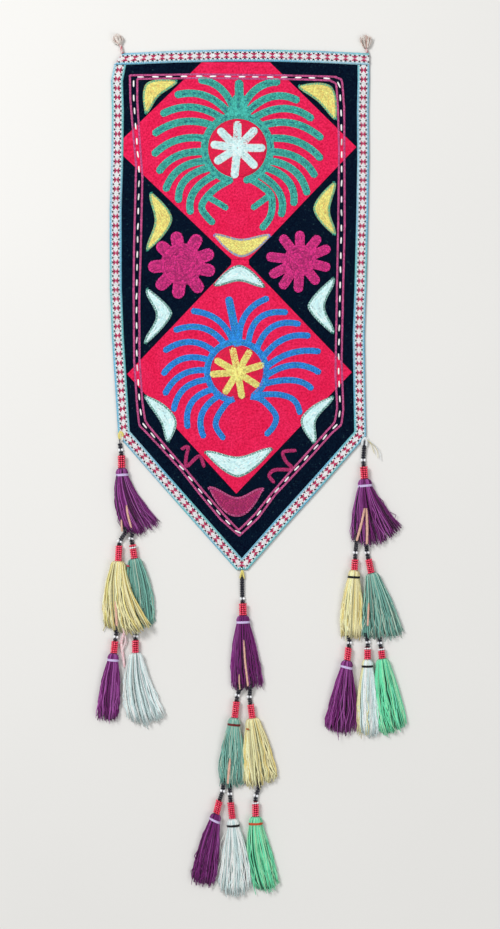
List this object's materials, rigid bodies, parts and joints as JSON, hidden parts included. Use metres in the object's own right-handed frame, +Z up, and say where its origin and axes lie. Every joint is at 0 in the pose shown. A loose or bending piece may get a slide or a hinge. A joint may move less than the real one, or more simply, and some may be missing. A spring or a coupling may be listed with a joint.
{
  "type": "embroidered yurt pole cover",
  "caption": "Pointed cloth panel with embroidered medallions, edged with woven tape, with drops of beaded tassels at its lower corners and a frayed tie at each top corner.",
  "frame": {"origin": "underside of the panel, under the middle of its worked face", "axes": "+X to the panel's right, +Y to its straight top edge, +Z up out of the worked face"},
  "size_m": [0.3626, 1.0135, 0.016],
  "materials": {
    "ground": "short velvet pile with chain-stitch embroidery",
    "tape": "fine woven tape",
    "tie": "frayed cotton cord",
    "cord": "thread strung with glass seed beads",
    "purple": "soft twisted thread",
    "yellow": "soft twisted thread",
    "teal": "soft twisted thread",
    "white": "soft twisted thread",
    "green": "soft twisted thread"
  },
  "bodies": {
    "root": {"ground_panel": "ground", "tape_side": "tape", "tape_top": "tape", "tie_left": "tie", "tie_right": "tie", "tassel_left_1_purple": "purple", "tassel_left_2_yellow": "yellow", "tassel_left_2_teal": "teal", "tassel_left_3_purple": "purple", "tassel_left_3_white": "white", "tassel_middle_1_purple": "purple", "tassel_middle_2_teal": "teal", "tassel_middle_2_yellow": "yellow", "tassel_middle_3_purple": "purple", "tassel_middle_3_white": "white", "tassel_middle_3_green": "green", "tassel_right_1_purple": "purple", "tassel_right_2_yellow": "yellow", "tassel_right_2_teal": "teal", "tassel_right_3_purple": "purple", "tassel_right_3_white": "white", "tassel_right_3_green": "green", "cord_left_1_purple": "cord", "cord_left_2_yellow": "cord", "cord_left_2_teal": "cord", "cord_left_3_purple": "cord", "cord_left_3_white": "cord", "cord_middle_1_purple": "cord", "cord_middle_2_teal": "cord", "cord_middle_2_yellow": "cord", "cord_middle_3_purple": "cord", "cord_middle_3_white": "cord", "cord_middle_3_green": "cord", "cord_right_1_purple": "cord", "cord_right_2_yellow": "cord", "cord_right_2_teal": "cord", "cord_right_3_purple": "cord", "cord_right_3_white": "cord", "cord_right_3_green": "cord", "cord_left_spare": "tie"}
  },
  "joints": []
}
